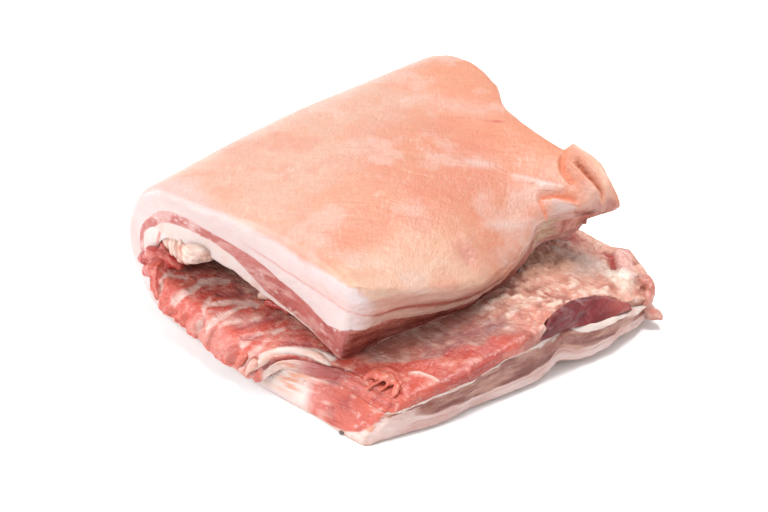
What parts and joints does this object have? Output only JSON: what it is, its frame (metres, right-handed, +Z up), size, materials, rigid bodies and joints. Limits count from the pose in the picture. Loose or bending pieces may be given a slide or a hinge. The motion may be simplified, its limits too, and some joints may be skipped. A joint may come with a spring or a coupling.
{
  "type": "pork belly slab",
  "caption": "Boneless slab of pork belly with the rind on, folded in half rind side out and lying flat on its lower half.",
  "frame": {"origin": "middle of the folded slab's outline, on the surface it lies on", "axes": "+X from the fold towards the two free edges, +Y from the near knife cut along the fold to the far end, +Z up"},
  "size_m": [0.301, 0.3035, 0.1082],
  "materials": {
    "rind_and_fat": "raw pork rind, peach with pink patches and fine pores, softly moist, over pale pink-white fat at every cut",
    "dusky_lean": "raw lean, dusky pink-red with pale flecks, moist",
    "seam_fat": "raw seam fat, cream white with a little pink, moist",
    "red_lean": "raw rib lean, bright red with white streaks of fat, moist",
    "flank_fat": "raw inner fat, cream with brown-pink areas and a silvery membrane, moist",
    "dark_lean": "raw lean, dark purple-red, moist and glossy"
  },
  "bodies": {
    "root": {"outer_fat": "rind_and_fat", "main_lean": "dusky_lean", "seam_fat": "seam_fat", "rib_lean": "red_lean", "flank_fat": "flank_fat", "flank_muscle": "dark_lean"}
  },
  "joints": []
}
